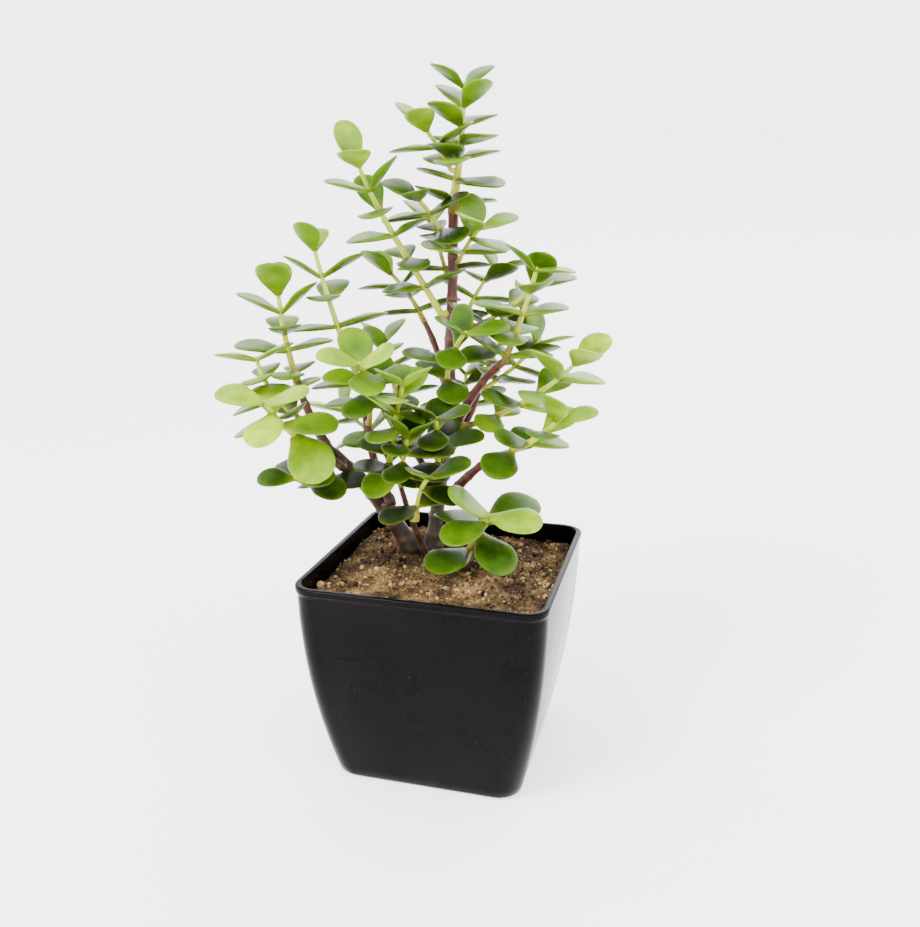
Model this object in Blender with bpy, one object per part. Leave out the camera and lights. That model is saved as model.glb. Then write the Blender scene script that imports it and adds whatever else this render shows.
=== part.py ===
"""A small potted jade plant: a square tapered pot, its soil, a woody trunk with branches, and leafy shoots.

Lengths are in metres, angles in degrees. +X is right, +Y is back, +Z is up, and the pot stands on
z = 0 with its middle over the origin. Headings turn from +X towards +Y.
"""
import math
import random

import bmesh
import bpy
import numpy as np
from mathutils import Vector
from mathutils.bvhtree import BVHTree

MM = 0.001

# Pot
POT_TOP_WIDTH = 100 * MM
POT_BASE_WIDTH = 77 * MM
POT_HEIGHT = 86.5 * MM
POT_WALL = 1.8 * MM
POT_CORNER = 9 * MM
POT_BELLY = 1.0
RIM_BAND = 2.6 * MM
RIM_PROUD = 0.6 * MM
RIM_ROUND = 0.6 * MM
CORNER_STEPS = 5
BASE_ROUND = 0.6 * MM

# Soil
SOIL_BELOW_RIM = 7.5 * MM
SOIL_MOUND = 3.0 * MM
SOIL_DEPTH = 60 * MM

# Clearance between pieces that touch on the real plant
GAP = 0.3 * MM

# Stems: the size of the whole plant and of its stems against the plan below, the radius of a side shoot at
# its foot and how much each metre of shoot adds to it, and a leafy stem's longest stretch between rings
PLANT_REACH = 1.0
STEM_GIRTH = 1.0
STEM_SIDES = 8
SHOOT_RADIUS = 0.6 * MM
SHOOT_TAPER = 0.012
ROOTED_RADIUS = 1.8 * MM
TIP_RADIUS = 0.8 * MM
TIP_TAPER = 0.6
LONGEST_SPAN = 0.25

# Leaves: length at the foot and the top of a shoot, width and thickness as shares of it, how much of its
# rise a leaf keeps as it levels out, and how far leaves stray in heading, tilt, size and place
LOWER_LEAF = 19 * MM
TOP_LEAF = 16 * MM
LEAF_WIDTH = 0.75
LEAF_THICK = 0.15
LEVELLING = 0.5
LEAF_TURN_WANDER = 13
LEAF_TILT_WANDER = 9
LEAF_SIZE_WANDER = 0.1
LEAF_PLACE_WANDER = 0.12

# Where the four stems come up, from the middle of the pot
TRUNK_FOOT = (-12 * MM, 18 * MM)
LEFT_FOOT = (-21 * MM, 13 * MM)
MIDDLE_FOOT = (-12 * MM, 7 * MM)
FRONT_FOOT = (6 * MM, 4 * MM)

# The heights of the pot wall's rows, as shares of the pot's height; the wall is straight between them
WALL_ROWS = (0.12, 0.28, 0.5, 0.75)

# A leaf from its foot to its tip: share of its length, of its width and of its thickness
LEAF_STATIONS = ((0.2, 0.42, 0.7), (0.62, 1.0, 1.0), (0.97, 0.5, 0.6))

# Which way the first leaf of a shoot's top pair points: to the right, to the back, or to a corner
SIDEWAYS, FRONT_TO_BACK, RIGHT_CORNER, LEFT_CORNER = 15, 105, 60, 150

# Woody stems: parent and share of the way up it, or no parent and x, y of the foot; heading and how far
# it swings round; rise at foot and tip; length in mm; radii in mm at foot and tip
WOOD = {
    "trunk": (None, TRUNK_FOOT, 60, 0, (80, 90), 140, (3.5, 2.0)),
    "branch_left": (None, LEFT_FOOT, -150, 30, (60, 45), 55, (3.5, 2.5)),
    "branch_left_outer": ("branch_left", 1.0, -165, 0, (60, 75), 30, (2.0, 1.5)),
    "branch_left_middle": ("branch_left", 0.4, -120, 0, (60, 90), 50, (2.0, 1.5)),
    "branch_front_left": ("branch_left", 0.9, -120, 15, (45, 30), 30, (1.6, 1.3)),
    "branch_right": ("trunk", 0.35, -15, 0, (70, 40), 40, (2.0, 1.5)),
    "branch_right_low": ("trunk", 0.15, -30, 0, (50, 35), 35, (2.2, 1.6)),
    "branch_back": ("trunk", 0.5, 120, 30, (55, 50), 30, (1.6, 1.2)),
    "branch_back_right": ("trunk", 0.3, 60, 15, (45, 55), 35, (1.8, 1.3)),
    "branch_back_left": ("trunk", 0.2, 150, -15, (45, 55), 35, (1.8, 1.3)),
    "stem_middle": (None, MIDDLE_FOOT, -120, 30, (65, 60), 40, (1.3, 1.0)),
}

# How a shoot grows: rise at its foot and tip, bare share of it, tilt of its leaves at the foot and the
# top, leaf size
HABITS = {
    "leader": ((75, 90), 0.05, (5, 35), 1.05),
    "erect": ((75, 85), 0.1, (5, 50), 1.0),
    "slanting": ((65, 75), 0.1, (5, 40), 1.0),
    "leaning": ((60, 45), 0.2, (5, 55), 1.0),
    "arching": ((60, 35), 0.3, (5, 35), 1.0),
    "turned_up": ((30, 80), 0.25, (5, 20), 1.0),
    "spreading": ((20, 45), 0.3, (5, 45), 1.05),
    "low": ((10, 20), 0.35, (-10, 10), 1.0),
    "broad": ((35, 50), 0.05, (-15, 15), 1.2),
    "rosette": ((70, 30), 0.2, (-10, 25), 1.3),
}

# Leafy shoots: parent and share, or no parent and foot; heading and swing; habit; length in mm; pairs of
# leaves; how the top pair stands
SHOOTS = {
    "shoot_crown": ("trunk", 1.0, -30, 0, "leader", 45, 7, RIGHT_CORNER),
    "shoot_crown_front": ("shoot_crown", 0.3, -135, 0, "leaning", 20, 3, FRONT_TO_BACK),
    "shoot_crown_left": ("trunk", 0.9, -120, 0, "arching", 25, 3, FRONT_TO_BACK),
    "shoot_upper_left": ("trunk", 0.7, -150, 60, "leaning", 75, 6, FRONT_TO_BACK),
    "shoot_upper_right": ("trunk", 0.85, -30, 0, "arching", 20, 3, RIGHT_CORNER),
    "shoot_thin_right": ("trunk", 0.65, 0, -15, "spreading", 40, 3, SIDEWAYS),
    "shoot_right": ("branch_right", 1.0, -15, 0, "slanting", 40, 5, SIDEWAYS),
    "shoot_far_right": ("branch_right", 0.2, -15, 0, "spreading", 60, 5, FRONT_TO_BACK),
    "shoot_right_low": ("branch_right_low", 1.0, -30, 0, "spreading", 40, 4, SIDEWAYS),
    "shoot_trunk_front": ("trunk", 0.45, -75, 30, "arching", 45, 4, SIDEWAYS),
    "shoot_trunk_low": ("trunk", 0.2, -75, 0, "arching", 50, 4, SIDEWAYS),
    "shoot_back": ("branch_back", 1.0, 165, 30, "leaning", 25, 4, FRONT_TO_BACK),
    "shoot_outer": ("branch_left_outer", 1.0, -135, 30, "erect", 35, 5, FRONT_TO_BACK),
    "shoot_leftmost": ("branch_left_outer", 0.5, -120, -45, "turned_up", 35, 4, SIDEWAYS),
    "shoot_left_middle": ("branch_left_middle", 1.0, -180, -15, "slanting", 60, 6, FRONT_TO_BACK),
    "shoot_left_front": ("branch_left_middle", 0.8, -60, -30, "arching", 40, 5, SIDEWAYS),
    "shoot_bright": ("branch_left_middle", 0.3, -60, 0, "leaning", 60, 6, SIDEWAYS),
    "shoot_front_left": ("branch_front_left", 1.0, -105, 15, "broad", 25, 4, SIDEWAYS),
    "shoot_low_left": ("branch_left", 0.75, -135, 45, "low", 30, 3, SIDEWAYS),
    "shoot_middle": ("stem_middle", 1.0, -60, 0, "leaning", 30, 5, SIDEWAYS),
    "shoot_middle_front": ("stem_middle", 0.5, -75, 30, "arching", 35, 3, RIGHT_CORNER),
    "shoot_front": (None, FRONT_FOOT, -15, -60, "rosette", 35, 4, LEFT_CORNER),
    "shoot_back_right": ("branch_back_right", 1.0, 60, -30, "leaning", 35, 4, SIDEWAYS),
    "shoot_back_left": ("branch_back_left", 1.0, 135, -15, "leaning", 35, 5, SIDEWAYS),
    "shoot_back_low": ("branch_back_right", 0.5, 105, 0, "spreading", 30, 4, RIGHT_CORNER),
    "shoot_back_upper": ("trunk", 0.6, 75, -15, "arching", 45, 4, SIDEWAYS),
    "shoot_back_crown": ("trunk", 0.8, 135, -15, "leaning", 30, 3, SIDEWAYS),
    "shoot_side_left": ("branch_back_left", 0.5, -165, 0, "spreading", 35, 4, SIDEWAYS),
    "shoot_side_right": ("branch_right", 0.6, 45, 0, "spreading", 35, 4, SIDEWAYS),
}


def unit(v):
    """A vector of length 1 in the direction of v."""
    return v / np.linalg.norm(v)


def facing(heading, rise):
    """The direction with a heading and a rise above level."""
    h, e = math.radians(heading), math.radians(rise)
    return np.array([math.cos(h) * math.cos(e), math.sin(h) * math.cos(e), math.sin(e)])


def across(v, axis):
    """The part of v square to the axis."""
    return unit(v - axis * (v @ axis))


class Stem:
    """A curved round stem: its middle line, and its radius from foot to tip."""

    def __init__(self, start, headings, rises, length, radii, lead=None, steps=8):
        line = [np.array(start, float)]
        if lead is not None:
            line.append(line[0] + lead)
        for k in range(steps):
            s = (k + 0.5) / steps
            heading = headings[0] + (headings[1] - headings[0]) * s
            rise = rises[0] + (rises[1] - rises[0]) * s
            line.append(line[-1] + facing(heading, rise) * length / steps)
        self.line = np.array(line)
        self.radii = radii
        sides = np.linalg.norm(np.diff(self.line, axis=0), axis=1)
        self.run = np.concatenate([[0], np.cumsum(sides)])
        self.length = self.run[-1]
        self.foot_axis = unit(self.line[1] - self.line[0])

    def point(self, share):
        return np.array([np.interp(share * self.length, self.run, self.line[:, k]) for k in range(3)])

    def axis(self, share):
        if share <= 0:
            return self.foot_axis
        return unit(self.point(min(1, share + 0.04)) - self.point(max(0, share - 0.04)))

    def radius(self, share):
        return self.radii[0] + (self.radii[1] - self.radii[0]) * share


def soil_height(x, y):
    """The height of the soil, a low mound round the trunk's foot."""
    reach = math.hypot(x - TRUNK_FOOT[0], y - TRUNK_FOOT[1]) / (0.3 * POT_TOP_WIDTH)
    return POT_HEIGHT - SOIL_BELOW_RIM + SOIL_MOUND * math.exp(-reach * reach)


def start_on(parent, share, heading, rise, radius):
    """Where a stem starts on its parent, a gap clear of its skin, and its first short step out from it."""
    axis = parent.axis(share)
    if share == 1.0:
        return parent.point(1) + axis * GAP, axis * radius
    out = across(facing(heading, rise), axis)
    return parent.point(share) + out * (parent.radius(share) + GAP), out * 1.2 * radius


def stem_from(found, parent, place, heading, swing, rises, length, radii):
    """A stem that grows out of the soil, out of another stem's side, or on from its end."""
    if parent is None:
        lead = facing(heading, rises[0]) * radii[0]
        foot_gap = GAP + radii[0] * math.cos(math.radians(rises[0])) + 0.05 * radii[0]
        start = (*place, soil_height(*place) + foot_gap)
    else:
        start, lead = start_on(found[parent], place, heading, rises[0], radii[0])
    return Stem(start, (heading, heading + swing), rises, length, radii, lead)


def shoot_radii(parent, share, length):
    """A shoot's radii. One that carries its parent on starts almost as thick as that ends."""
    if parent is None:
        foot = ROOTED_RADIUS * STEM_GIRTH
    elif share == 1.0:
        foot = 0.95 * parent.radii[1]
    else:
        foot = (SHOOT_RADIUS + SHOOT_TAPER * length) * STEM_GIRTH
    return foot, min(foot, TIP_RADIUS * STEM_GIRTH)


def stems():
    """Every stem by name, parents first."""
    found = {}
    for name, (parent, place, heading, swing, rises, length, radii) in WOOD.items():
        radii = [r * MM * STEM_GIRTH for r in radii]
        found[name] = stem_from(found, parent, place, heading, swing, rises, length * MM * PLANT_REACH, radii)
    for name, (parent, place, heading, swing, habit, length, _, _) in SHOOTS.items():
        length = length * MM * PLANT_REACH
        radii = shoot_radii(found.get(parent), place, length)
        found[name] = stem_from(found, parent, place, heading, swing, HABITS[habit][0], length, radii)
    return found


def ring(middle, axis, side, radius):
    """STEM_SIDES points round an axis, the first in the side direction."""
    up = np.cross(axis, side)
    turns = [2 * math.pi * k / STEM_SIDES for k in range(STEM_SIDES)]
    return [middle + radius * (math.cos(t) * side + math.sin(t) * up) for t in turns]


class Body:
    """A closed mesh being built up ring by ring."""

    def __init__(self):
        self.points, self.faces = [], []

    def add(self, points):
        first = len(self.points)
        self.points += [np.array(p) for p in points]
        return list(range(first, first + len(points)))

    def skin(self, lower, upper, leave=()):
        n = len(lower)
        for k in range(n):
            if k not in leave:
                self.faces.append((lower[k], lower[(k + 1) % n], upper[(k + 1) % n], upper[k]))

    def cap(self, loop, outward=True):
        self.faces.append(tuple(loop if outward else reversed(loop)))


class Leaf:
    """One fleshy spoon-shaped leaf: its foot on the stem, direction, upper side, length and stem's girth."""

    def __init__(self, foot, along, top, length, girth):
        self.foot, self.along, self.top, self.length, self.girth = foot, along, top, length, girth
        self.side = np.cross(top, along)

    def sections(self, grow=0.0, with_foot=False):
        """Six-point sections up the leaf: three below from left to right, then three above, back again."""
        broad, deep = LEAF_WIDTH * self.length, LEAF_THICK * self.length
        foot = (0.02, 1.4 * self.girth / broad, 1.5 * self.girth / deep)
        for share, wide, thick in (foot, *LEAF_STATIONS) if with_foot else LEAF_STATIONS:
            droop = -0.10 * self.length * (share - 0.35) ** 2
            middle = self.foot + self.along * self.length * share + self.top * droop
            half = 0.5 * broad * wide + grow
            high = 0.5 * deep * thick + grow
            low_rim, high_rim = 0.12 * half - 0.45 * high, 0.12 * half + 0.45 * high
            below = ((-half, low_rim), (0, -high), (half, low_rim))
            above = ((half, high_rim), (0, high), (-half, high_rim))
            yield [middle + self.side * x + self.top * z for x, z in below + above]

    def tree(self, grow=0.0, first=0, last=None):
        """The leaf's skin, or its stations from first up to last, as a tree to test against."""
        body = Body()
        rings = [body.add(s) for s in list(self.sections(grow, True))[first:last]]
        body.cap(rings[0], False)
        for lower, upper in zip(rings, rings[1:]):
            body.skin(lower, upper)
        body.cap(rings[-1])
        return BVHTree.FromPolygons([Vector(p) for p in body.points], body.faces)

    def box(self):
        points = np.array([p for s in self.sections(GAP, True) for p in s])
        return points.min(0), points.max(0)


def leaf_from(stem, share, side, tilt, length, sweep=0.0):
    """A leaf that leaves its stem to one side, tilted up along it and swept round it."""
    axis = stem.axis(share)
    turned = math.radians(sweep)
    out = side * math.cos(turned) + np.cross(axis, side) * math.sin(turned)
    out = unit(out * (1, 1, LEVELLING))
    t = math.radians(tilt)
    along = unit(out * math.cos(t) + axis * math.sin(t))
    top = across(0.6 * axis + np.array([0, 0, 1]), along)
    foot = stem.point(share) + side * stem.radius(share) * 0.9
    return Leaf(foot, along, top, length, stem.radius(share))


# Ways a crowded leaf gives way, tried in order: added tilt and sweep round the stem, then a smaller leaf
ASIDE = (
    (0, 0), (10, 0), (-10, 0), (0, 14), (0, -14), (18, 10), (18, -10), (-16, 10), (-16, -10),
    (28, 0), (0, 26), (0, -26), (-26, 0), (36, 16), (36, -16), (-30, 18), (-30, -18),
)
GIVE_WAY = [(*aside, size) for size in (1.0, 0.88, 0.76, 0.64, 0.52, 0.4, 0.3) for aside in ASIDE]


class Room:
    """What already stands, for a new leaf to keep clear of."""

    def __init__(self):
        self.things = []

    def put(self, tree, low, high, owner):
        """Adds a thing: its skin, its lowest and highest corners, and whose it is."""
        self.things.append((tree, low, high, owner))

    def clear(self, leaf, owner):
        """Whether a leaf is clear of everything but its twin; its own stem may touch its foot."""
        low, high = leaf.box()
        whole, blade = None, None
        for other, a, b, whose in self.things:
            if whose == owner or (low > b).any() or (high < a).any():
                continue
            if whose == owner[0]:
                blade = blade or leaf.tree(first=1)
                if blade.overlap(other):
                    return False
                continue
            whole = whole or leaf.tree(GAP)
            if whole.overlap(other):
                return False
        return True


def stem_body(stem):
    """A plain round stem, closed at both ends."""
    body = Body()
    side = across(np.array([1.0, 0.2, 0.1]), stem.axis(0))
    loops = []
    for k, share in enumerate(np.concatenate([[0], stem.run[1:] / stem.length])):
        side = across(side, stem.axis(share))
        loops.append(body.add(ring(stem.point(share), stem.axis(share), side, stem.radius(share))))
    body.cap(loops[0], False)
    for lower, upper in zip(loops, loops[1:]):
        body.skin(lower, upper)
    body.cap(loops[-1])
    return body


def tree_of(body):
    """A body's skin as a tree to test against, with its lowest and highest corners."""
    points = np.array(body.points)
    return BVHTree.FromPolygons([Vector(p) for p in points], body.faces), points.min(0), points.max(0)


def pair_places(name, stem, habit, pairs, turn):
    """For each pair of leaves from the foot up: its share of the stem, side direction, tilts and lengths."""
    _, bare, tilts, size = HABITS[habit]
    wander = random.Random(name).uniform
    top_share = 1 - 1.2 * stem.radii[1] / stem.length
    step = (top_share - bare) / (pairs - 1)
    for k in range(pairs):
        up = k / (pairs - 1)
        share = bare + (top_share - bare) * up ** 0.9
        if 0 < k < pairs - 1:
            share += wander(-LEAF_PLACE_WANDER, LEAF_PLACE_WANDER) * step
        heading = turn + 90 * ((pairs - 1 - k) % 2) + wander(-LEAF_TURN_WANDER, LEAF_TURN_WANDER)
        side = across(facing(heading, 0), stem.axis(share))
        length = size * (LOWER_LEAF + (TOP_LEAF - LOWER_LEAF) * up ** 2)
        tilt = tilts[0] + (tilts[1] - tilts[0]) * up ** 2
        yield share, side, [
            (way, tilt + wander(-LEAF_TILT_WANDER, LEAF_TILT_WANDER),
             length * (1 + wander(-LEAF_SIZE_WANDER, LEAF_SIZE_WANDER)))
            for way in (1, -1)
        ]


def grow_leaves(found, room):
    """The leaves of every leafy shoot, each one turned aside where something already stands.

    The feet of all the leaves are set first, so that no leaf lies over the place of a later one.
    """
    leaves, squeezed = {}, 0
    places = {
        name: list(pair_places(name, found[name], habit, pairs, turn))
        for name, (*_, habit, _, pairs, turn) in SHOOTS.items()
    }
    for name, pairs in places.items():
        for share, side, pair in pairs:
            for way, tilt, length in pair:
                leaf = leaf_from(found[name], share, way * side, tilt, length)
                room.put(leaf.tree(last=2), *leaf.box(), (name, share))
    for name, pairs in places.items():
        stem, leaves[name] = found[name], []
        for share, side, pair in pairs:
            grown = []
            for way, tilt, length in pair:
                for more, sweep, scale in GIVE_WAY:
                    leaf = leaf_from(stem, share, way * side, tilt + more, length * scale, sweep)
                    if room.clear(leaf, (name, share)):
                        break
                else:
                    squeezed += 1
                grown.append(leaf)
                room.put(leaf.tree(first=1), *leaf.box(), (name, share, way))
            for leaf in grown:
                room.put(leaf.tree(), *leaf.box(), (name, share))
            leaves[name].append((share, side, grown))
    return leaves, squeezed


def stops(stem, grown):
    """The rings of a leafy stem from its foot: share, side direction, and the pair that opens above it."""
    last = 0.0
    found = [(0.0, grown[0][1], None)]
    for share, side, pair in grown:
        half = 0.75 * stem.radius(share) / stem.length
        spans = math.ceil((share - half - last) / LONGEST_SPAN)
        found += [(last + (share - half - last) * k / spans, side, None) for k in range(1, spans)]
        found += [(share - half, side, pair), (share + half, side, None)]
        last = share + half
    return found + [(1.0, grown[-1][1], None)]


def leafy_body(stem, grown):
    """A stem with its leaves as one closed skin: each leaf grows out of two faces of the stem."""
    body = Body()
    rings, turns = [], []
    held = grown[0][1]
    rows = stops(stem, grown)
    for share, side, _ in rows:
        axis = stem.axis(share)
        held = across(held, axis)
        side = across(side, axis)
        swing = math.degrees(math.atan2(np.cross(held, side) @ axis, held @ side))
        turn = round(swing * STEM_SIDES / 360)
        points = ring(stem.point(share), axis, side, stem.radius(share) * (TIP_TAPER if share == 1.0 else 1))
        rings.append(body.add([points[(j - turn) % STEM_SIDES] for j in range(STEM_SIDES)]))
        turns.append(turn)
    body.cap(rings[0], False)
    for (_, _, pair), turn, lower, upper in zip(rows, turns, rings, rings[1:]):
        doors = []
        for leaf, first in zip(pair or (), (STEM_SIDES - 1, STEM_SIDES // 2 - 1)):
            a, b, c = [(first + j + turn) % STEM_SIDES for j in range(3)]
            doors += [a, b]
            previous = [lower[a], lower[b], lower[c], upper[c], upper[b], upper[a]]
            for points in leaf.sections():
                section = body.add(points)
                body.skin(previous, section)
                previous = section
            body.cap(previous)
        body.skin(lower, upper, doors)
    body.cap(rings[-1])
    return body


def rounded_square(width, corner, z):
    """Points round a square with round corners, CORNER_STEPS spans to a corner."""
    half = width / 2 - corner
    points = []
    for quarter, (x, y) in enumerate(((1, 1), (-1, 1), (-1, -1), (1, -1))):
        for k in range(CORNER_STEPS + 1):
            t = math.radians(90 * (quarter + k / CORNER_STEPS))
            points.append((x * half + corner * math.cos(t), y * half + corner * math.sin(t), z))
    return points


def pot_width(z):
    """The outer width at a height: steep near the rim, curving in towards the base."""
    up = z / POT_HEIGHT
    spread = POT_TOP_WIDTH - 2 * RIM_PROUD - POT_BASE_WIDTH
    return POT_BASE_WIDTH + spread * (1 - (1 - up) ** (1 + POT_BELLY))


def inner_rows():
    """The heights of the inner wall's rows, from the pot's floor up."""
    return [POT_WALL, *(share * POT_HEIGHT for share in WALL_ROWS), POT_HEIGHT - RIM_ROUND]


def pot_body():
    """The pot: tapered walls with a proud band round the rim, open at the top, its floor closed."""
    body = Body()
    band = POT_HEIGHT - RIM_BAND
    outer = [(pot_width(0) - 2 * BASE_ROUND, 0), (pot_width(BASE_ROUND), BASE_ROUND)]
    outer += [(pot_width(share * POT_HEIGHT), share * POT_HEIGHT) for share in WALL_ROWS]
    outer += [(pot_width(band), band - RIM_PROUD), (POT_TOP_WIDTH, band)]
    outer += [(POT_TOP_WIDTH, POT_HEIGHT - RIM_ROUND), (POT_TOP_WIDTH - 2 * RIM_ROUND, POT_HEIGHT)]
    inner = [(pot_width(POT_HEIGHT) - 2 * (POT_WALL - RIM_ROUND), POT_HEIGHT)]
    inner += [(pot_width(z) - 2 * POT_WALL, z) for z in reversed(inner_rows())]
    loops = [body.add(rounded_square(width, POT_CORNER, z)) for width, z in outer]
    loops += [body.add(rounded_square(width, POT_CORNER - POT_WALL, z)) for width, z in inner]
    for lower, upper in zip(loops, loops[1:]):
        body.skin(lower, upper)
    body.cap(loops[0], False)
    body.cap(loops[-1])
    return body


def soil_width(z):
    """The soil's width at a height, a gap clear of the pot's inner wall."""
    rows = inner_rows()
    return np.interp(z, rows, [pot_width(row) for row in rows]) - 2 * (POT_WALL + GAP)


def soil_body():
    """The soil: a low mound inside the pot, down to a flat bottom."""
    body = Body()
    corner = POT_CORNER - POT_WALL
    top = POT_HEIGHT - SOIL_BELOW_RIM
    rings = []
    for deep in (1, 0.6, 0.25, 0):
        z = top - deep * SOIL_DEPTH
        rings.append(body.add(rounded_square(soil_width(z), corner, z)))
    for share in (0.8, 0.6, 0.4, 0.2):
        flat = rounded_square(soil_width(top) * share, corner * share, 0)
        rings.append(body.add([(x, y, soil_height(x, y)) for x, y, _ in flat]))
    middle = body.add([(0, 0, soil_height(0, 0))])[0]
    body.cap(rings[0], False)
    for lower, upper in zip(rings, rings[1:]):
        body.skin(lower, upper)
    for a, b in zip(rings[-1], rings[-1][1:] + rings[-1][:1]):
        body.faces.append((a, b, middle))
    return body


def material(name, colour, roughness):
    """A plain material."""
    mat = bpy.data.materials.new(name)
    mat.use_nodes = True
    shader = mat.node_tree.nodes["Principled BSDF"]
    shader.inputs["Base Color"].default_value = (*colour, 1)
    shader.inputs["Roughness"].default_value = roughness
    return mat


def make_object(name, body, colour, roughness):
    """A body as an object of its own, its faces turned outwards and cut into triangles."""
    mesh = bpy.data.meshes.new(name)
    mesh.from_pydata([tuple(p) for p in body.points], [], body.faces)
    bm = bmesh.new()
    bm.from_mesh(mesh)
    bmesh.ops.recalc_face_normals(bm, faces=bm.faces)
    bmesh.ops.triangulate(bm, faces=bm.faces)
    bm.to_mesh(mesh)
    bm.free()
    mesh.materials.append(material(name, colour, roughness))
    mesh.polygons.foreach_set("use_smooth", [True] * len(mesh.polygons))
    thing = bpy.data.objects.new(name, mesh)
    bpy.context.scene.collection.objects.link(thing)
    return thing


def build():
    """The whole plant in its pot."""
    for thing in list(bpy.data.objects):
        bpy.data.objects.remove(thing)
    pot, soil = pot_body(), soil_body()
    make_object("pot", pot, (0.02, 0.018, 0.02), 0.25)
    make_object("soil", soil, (0.30, 0.22, 0.14), 0.9)
    found = stems()
    room = Room()
    for body in (pot, soil):
        room.put(*tree_of(body), "pot")
    for name, stem in found.items():
        room.put(*tree_of(stem_body(stem)), name)
    leaves, squeezed = grow_leaves(found, room)
    for name in WOOD:
        make_object(name, stem_body(found[name]), (0.16, 0.07, 0.05), 0.6)
    for name in SHOOTS:
        make_object(name, leafy_body(found[name], leaves[name]), (0.25, 0.45, 0.06), 0.35)
    print("leaves without room:", squeezed)


build()
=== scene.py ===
"""The looks of the potted jade plant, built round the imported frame: smooth fleshy leaves, barked stems,
a moulded pot with a rim band, and gritty soil. Lengths are in metres and angles in degrees. The plan of the
plant is the CAD part's own, so that every piece stands where its node does."""
import math
import random

import bpy
import numpy as np
from mathutils import Matrix, Vector, noise
from mathutils.bvhtree import BVHTree


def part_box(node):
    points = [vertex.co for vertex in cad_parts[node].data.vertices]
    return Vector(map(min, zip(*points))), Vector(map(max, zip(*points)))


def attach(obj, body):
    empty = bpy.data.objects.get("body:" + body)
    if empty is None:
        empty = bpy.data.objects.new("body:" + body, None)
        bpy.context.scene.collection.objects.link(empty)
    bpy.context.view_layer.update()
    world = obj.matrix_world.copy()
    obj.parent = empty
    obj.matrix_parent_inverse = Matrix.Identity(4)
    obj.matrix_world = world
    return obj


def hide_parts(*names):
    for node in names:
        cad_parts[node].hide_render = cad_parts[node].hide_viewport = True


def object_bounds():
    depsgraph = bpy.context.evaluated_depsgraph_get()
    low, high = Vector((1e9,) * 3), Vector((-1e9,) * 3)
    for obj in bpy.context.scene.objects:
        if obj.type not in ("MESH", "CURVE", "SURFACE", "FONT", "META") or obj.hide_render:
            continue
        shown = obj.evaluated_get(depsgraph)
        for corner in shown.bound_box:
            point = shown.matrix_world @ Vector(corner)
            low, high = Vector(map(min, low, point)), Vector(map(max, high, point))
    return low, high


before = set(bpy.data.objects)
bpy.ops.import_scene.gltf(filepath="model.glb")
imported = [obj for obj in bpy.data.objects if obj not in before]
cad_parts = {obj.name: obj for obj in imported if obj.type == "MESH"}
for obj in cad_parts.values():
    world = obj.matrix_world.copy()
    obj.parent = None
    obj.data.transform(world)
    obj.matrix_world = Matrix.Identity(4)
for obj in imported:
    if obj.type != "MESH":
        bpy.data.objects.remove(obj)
CAD_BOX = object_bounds()

MM = 0.001

# Pot
POT_TOP_WIDTH = 100 * MM
POT_BASE_WIDTH = 77 * MM
POT_HEIGHT = 86.5 * MM
POT_WALL = 1.8 * MM
POT_CORNER = 9 * MM
POT_BELLY = 1.0
RIM_BAND = 2.6 * MM
RIM_PROUD = 0.6 * MM
RIM_ROUND = 0.6 * MM
CORNER_STEPS = 5
BASE_ROUND = 0.6 * MM

# Soil: how far it lies below the rim, the height of its mound and the mound's reach as a share of the
# pot's width, and its depth
SOIL_BELOW_RIM = 7.5 * MM
SOIL_MOUND = 3.0 * MM
MOUND_REACH = 0.3
SOIL_DEPTH = 60 * MM

# Clearance between pieces that touch on the real plant
GAP = 0.3 * MM

# Stems: the size of the whole plant and of its stems against the plan below, the radius of a side shoot at
# its foot and how much each metre of shoot adds to it, a rooted shoot's radius, and a shoot's at its tip
PLANT_REACH = 1.0
STEM_GIRTH = 1.0
STEM_SIDES = 8
SHOOT_RADIUS = 0.6 * MM
SHOOT_TAPER = 0.012
ROOTED_RADIUS = 1.8 * MM
TIP_RADIUS = 0.8 * MM

# Leaves: length at the foot and the top of a shoot, width and thickness as shares of it, how much of its
# rise a leaf keeps as it levels out, how much it curves down, and how far leaves stray in heading, tilt,
# size and place
LOWER_LEAF = 19 * MM
TOP_LEAF = 16 * MM
LEAF_WIDTH = 0.75
LEAF_THICK = 0.15
LEVELLING = 0.5
LEAF_DROOP = 0.10
LEAF_TURN_WANDER = 13
LEAF_TILT_WANDER = 9
LEAF_SIZE_WANDER = 0.1
LEAF_PLACE_WANDER = 0.12

# Where the four stems come up, from the middle of the pot
TRUNK_FOOT = (-12 * MM, 18 * MM)
LEFT_FOOT = (-21 * MM, 13 * MM)
MIDDLE_FOOT = (-12 * MM, 7 * MM)
FRONT_FOOT = (6 * MM, 4 * MM)

# The heights of the pot wall's rows, as shares of the pot's height; the wall is straight between them
WALL_ROWS = (0.12, 0.28, 0.5, 0.75)

# A leaf from its foot to its tip: share of its length, of its width and of its thickness
LEAF_STATIONS = ((0.2, 0.42, 0.7), (0.62, 1.0, 1.0), (0.97, 0.5, 0.6))

# Which way the first leaf of a shoot's top pair points: to the right, to the back, or to a corner
SIDEWAYS, FRONT_TO_BACK, RIGHT_CORNER, LEFT_CORNER = 15, 105, 60, 150

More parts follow.
